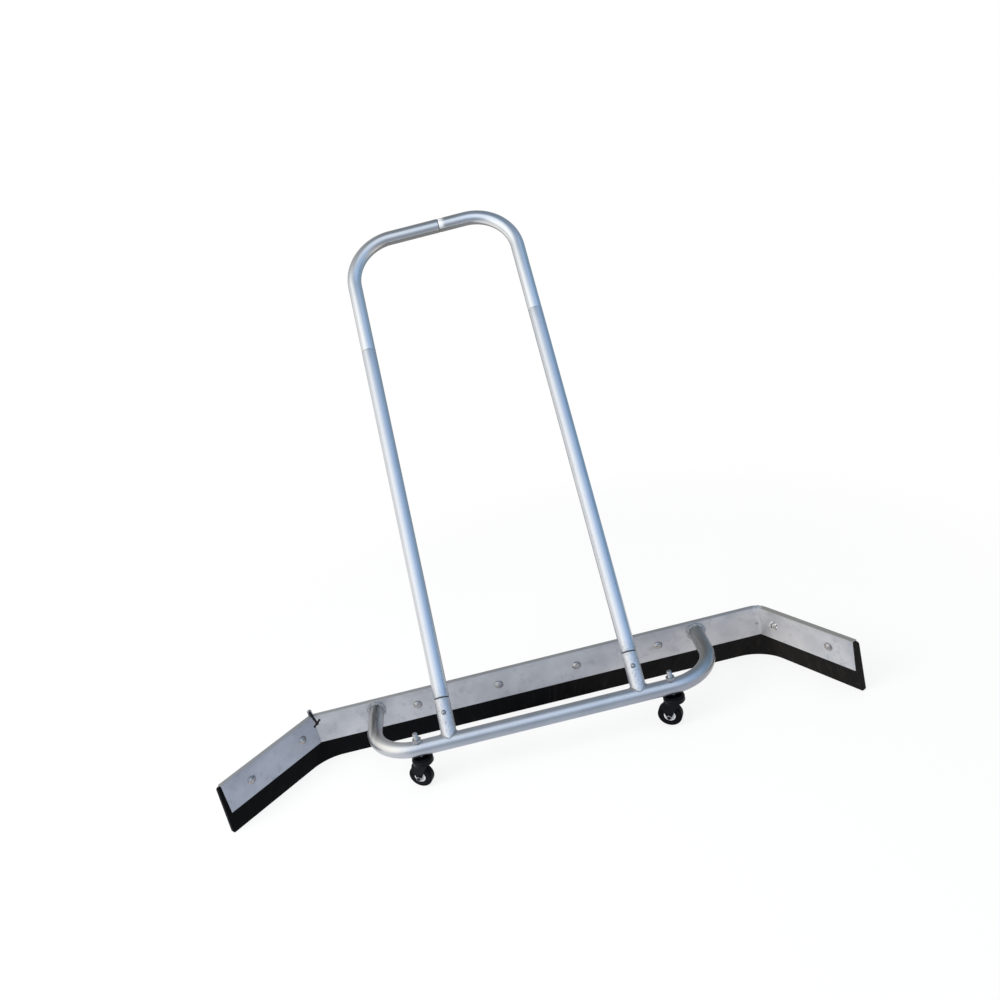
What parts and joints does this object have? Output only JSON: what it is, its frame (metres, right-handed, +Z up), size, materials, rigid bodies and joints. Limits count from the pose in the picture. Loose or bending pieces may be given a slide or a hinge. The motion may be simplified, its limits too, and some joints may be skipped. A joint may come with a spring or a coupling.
{
  "type": "tennis court squeegee",
  "caption": "Push squeegee for wet hard courts: angled aluminium blade holding a rubber strip, swivel casters under a U tube and a leaning arch handle.",
  "frame": {"origin": "on the ground under the middle of the rubber strip's middle line, on its flat lower edge", "axes": "+X along the centre section towards the steeper wing, -Y towards the base tube and casters, +Y towards the operator's side that the handle leans to, +Z up"},
  "size_m": [1.3184, 0.8073, 0.9999],
  "materials": {
    "channel_aluminium": "mill finish extrusion, cloudy and lightly scratched",
    "tube_aluminium": "drawn tube, satin to semi-bright",
    "sleeve_aluminium": "plain turned",
    "zinc_steel": "bright zinc plate",
    "black_steel": "semi-gloss black coating",
    "spring_steel": "bare spring steel",
    "blade_rubber": "matt moulded strip with faint dust",
    "wheel_rubber": "smooth moulded tread",
    "hub_nylon": "natural moulded nylon"
  },
  "bodies": {
    "squeegee_frame": {"centre_channel": "channel_aluminium", "left_wing_channel": "channel_aluminium", "right_wing_channel": "channel_aluminium", "rubber_strip": "blade_rubber", "right_elbow_rivet": "zinc_steel", "centre_far_left_bolt": "zinc_steel", "centre_far_left_nut": "zinc_steel", "centre_left_bolt": "zinc_steel", "centre_left_nut": "zinc_steel", "centre_right_bolt": "zinc_steel", "centre_right_nut": "zinc_steel", "centre_far_right_bolt": "zinc_steel", "centre_far_right_nut": "zinc_steel", "left_wing_inner_bolt": "zinc_steel", "left_wing_inner_nut": "zinc_steel", "left_wing_outer_bolt": "zinc_steel", "left_wing_outer_nut": "zinc_steel", "right_wing_inner_bolt": "zinc_steel", "right_wing_inner_nut": "zinc_steel", "right_wing_outer_bolt": "zinc_steel", "right_wing_outer_nut": "zinc_steel", "screw_lug": "zinc_steel", "t_screw_nut": "zinc_steel", "base_tube": "tube_aluminium", "left_stub": "tube_aluminium", "left_lower_leg": "tube_aluminium", "left_upper_bend": "tube_aluminium", "left_stub_sleeve": "sleeve_aluminium", "left_leg_sleeve": "sleeve_aluminium", "left_button_spring": "spring_steel", "left_caster_stem": "zinc_steel", "left_caster_top_nut": "zinc_steel", "left_race_plate": "black_steel", "left_caster_lower_nut": "black_steel", "right_stub": "tube_aluminium", "right_lower_leg": "tube_aluminium", "right_upper_bend": "tube_aluminium", "right_stub_sleeve": "sleeve_aluminium", "right_leg_sleeve": "sleeve_aluminium", "right_button_spring": "spring_steel", "right_caster_stem": "zinc_steel", "right_caster_top_nut": "zinc_steel", "right_race_plate": "black_steel", "right_caster_lower_nut": "black_steel", "top_sleeve": "sleeve_aluminium"},
    "left_caster_body": {"left_fork": "black_steel", "left_axle": "zinc_steel", "left_axle_nut": "zinc_steel"},
    "left_wheel_body": {"left_wheel": "hub_nylon", "left_tyre": "wheel_rubber"},
    "left_button_body": {"left_snap_button": "zinc_steel"},
    "right_caster_body": {"right_fork": "black_steel", "right_axle": "zinc_steel", "right_axle_nut": "zinc_steel"},
    "right_wheel_body": {"right_wheel": "hub_nylon", "right_tyre": "wheel_rubber"},
    "right_button_body": {"right_snap_button": "zinc_steel"},
    "screw_body": {"t_screw": "black_steel", "t_bar": "black_steel"}
  },
  "joints": [
    {"name": "left_caster_swivel", "type": "hinge", "parent": "squeegee_frame", "child": "left_caster_body", "pos_m": [-0.261, -0.1803, 0.0698], "axis": [0, 0, 1], "continuous": true},
    {"name": "left_wheel_spin", "type": "hinge", "parent": "left_caster_body", "child": "left_wheel_body", "pos_m": [-0.27333, -0.17481, 0.025], "axis": [-0.4067, -0.9135, 0], "continuous": true},
    {"name": "left_button_press", "type": "slide", "parent": "squeegee_frame", "child": "left_button_body", "axis": [0, 0.766, -0.6428], "range_m": [0, 0.0045], "stiffness_N_per_m": 300, "springref_m": -0.004, "deforming": ["left_button_spring"]},
    {"name": "right_caster_swivel", "type": "hinge", "parent": "squeegee_frame", "child": "right_caster_body", "pos_m": [0.261, -0.1803, 0.0698], "axis": [0, 0, 1], "continuous": true},
    {"name": "right_wheel_spin", "type": "hinge", "parent": "right_caster_body", "child": "right_wheel_body", "pos_m": [0.24867, -0.17481, 0.025], "axis": [-0.4067, -0.9135, 0], "continuous": true},
    {"name": "right_button_press", "type": "slide", "parent": "squeegee_frame", "child": "right_button_body", "axis": [0, 0.766, -0.6428], "range_m": [0, 0.0045], "stiffness_N_per_m": 300, "springref_m": -0.004, "deforming": ["right_button_spring"]},
    {"name": "t_screw_turn", "type": "hinge", "parent": "squeegee_frame", "child": "screw_body", "pos_m": [-0.50002, 0.00228, 0.1193], "axis": [0.4067, -0.9135, 0], "continuous": true}
  ]
}
